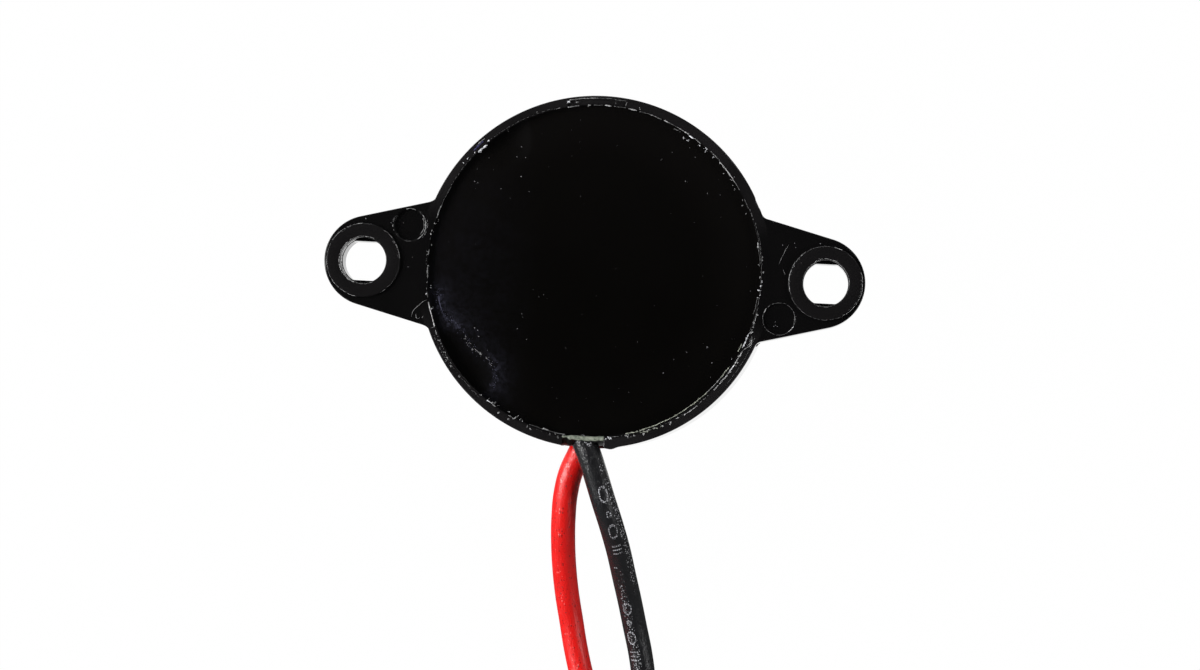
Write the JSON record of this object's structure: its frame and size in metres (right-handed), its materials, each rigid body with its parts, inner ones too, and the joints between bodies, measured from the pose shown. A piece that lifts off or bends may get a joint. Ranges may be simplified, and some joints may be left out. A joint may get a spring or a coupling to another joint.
{
  "type": "piezo buzzer",
  "caption": "Potted round piezo buzzer with an ear and hole on each side, a sound hole in its face, and red and black flying leads.",
  "frame": {"origin": "centre of the sounding face, on the surface that the case lies on", "axes": "+X through both mounting holes, +Y away from the leads' slot, +Z from the sounding face to the potted back"},
  "size_m": [0.035, 0.0604, 0.0102],
  "materials": {
    "black_case": "satin",
    "black_resin": "gloss",
    "sealant": "satin",
    "red_insulation": "gloss",
    "black_insulation": "satin",
    "blue_insulation": "gloss",
    "brass": "satin",
    "piezo_ceramic": "matte",
    "silver_electrode": "satin",
    "solder": "satin",
    "tinned_copper": "satin",
    "adhesive": "satin",
    "board": "satin",
    "copper": "satin",
    "epoxy_body": "matte",
    "ferrite": "matte",
    "enamelled_wire": "gloss"
  },
  "bodies": {
    "root": {"case": "black_case", "plate_glue": "adhesive", "brass_plate": "brass", "ceramic_disc": "piezo_ceramic", "main_electrode": "silver_electrode", "feedback_electrode": "silver_electrode", "plate_solder": "solder", "main_solder": "solder", "feedback_solder": "solder", "plate_wire": "black_insulation", "main_wire": "red_insulation", "feedback_wire": "blue_insulation", "circuit_board": "board", "board_copper": "copper", "transistor": "epoxy_body", "transistor_legs": "tinned_copper", "coil_core": "ferrite", "coil_winding": "enamelled_wire", "base_resistor": "epoxy_body", "bias_resistor": "epoxy_body", "red_lead": "red_insulation", "black_lead": "black_insulation", "red_tail": "tinned_copper", "black_tail": "tinned_copper", "red_solder": "solder", "black_solder": "solder", "resin": "black_resin", "exit_sealant": "sealant", "coiled_leads": "black_insulation", "red_tip": "tinned_copper", "black_tip": "tinned_copper"}
  },
  "joints": []
}
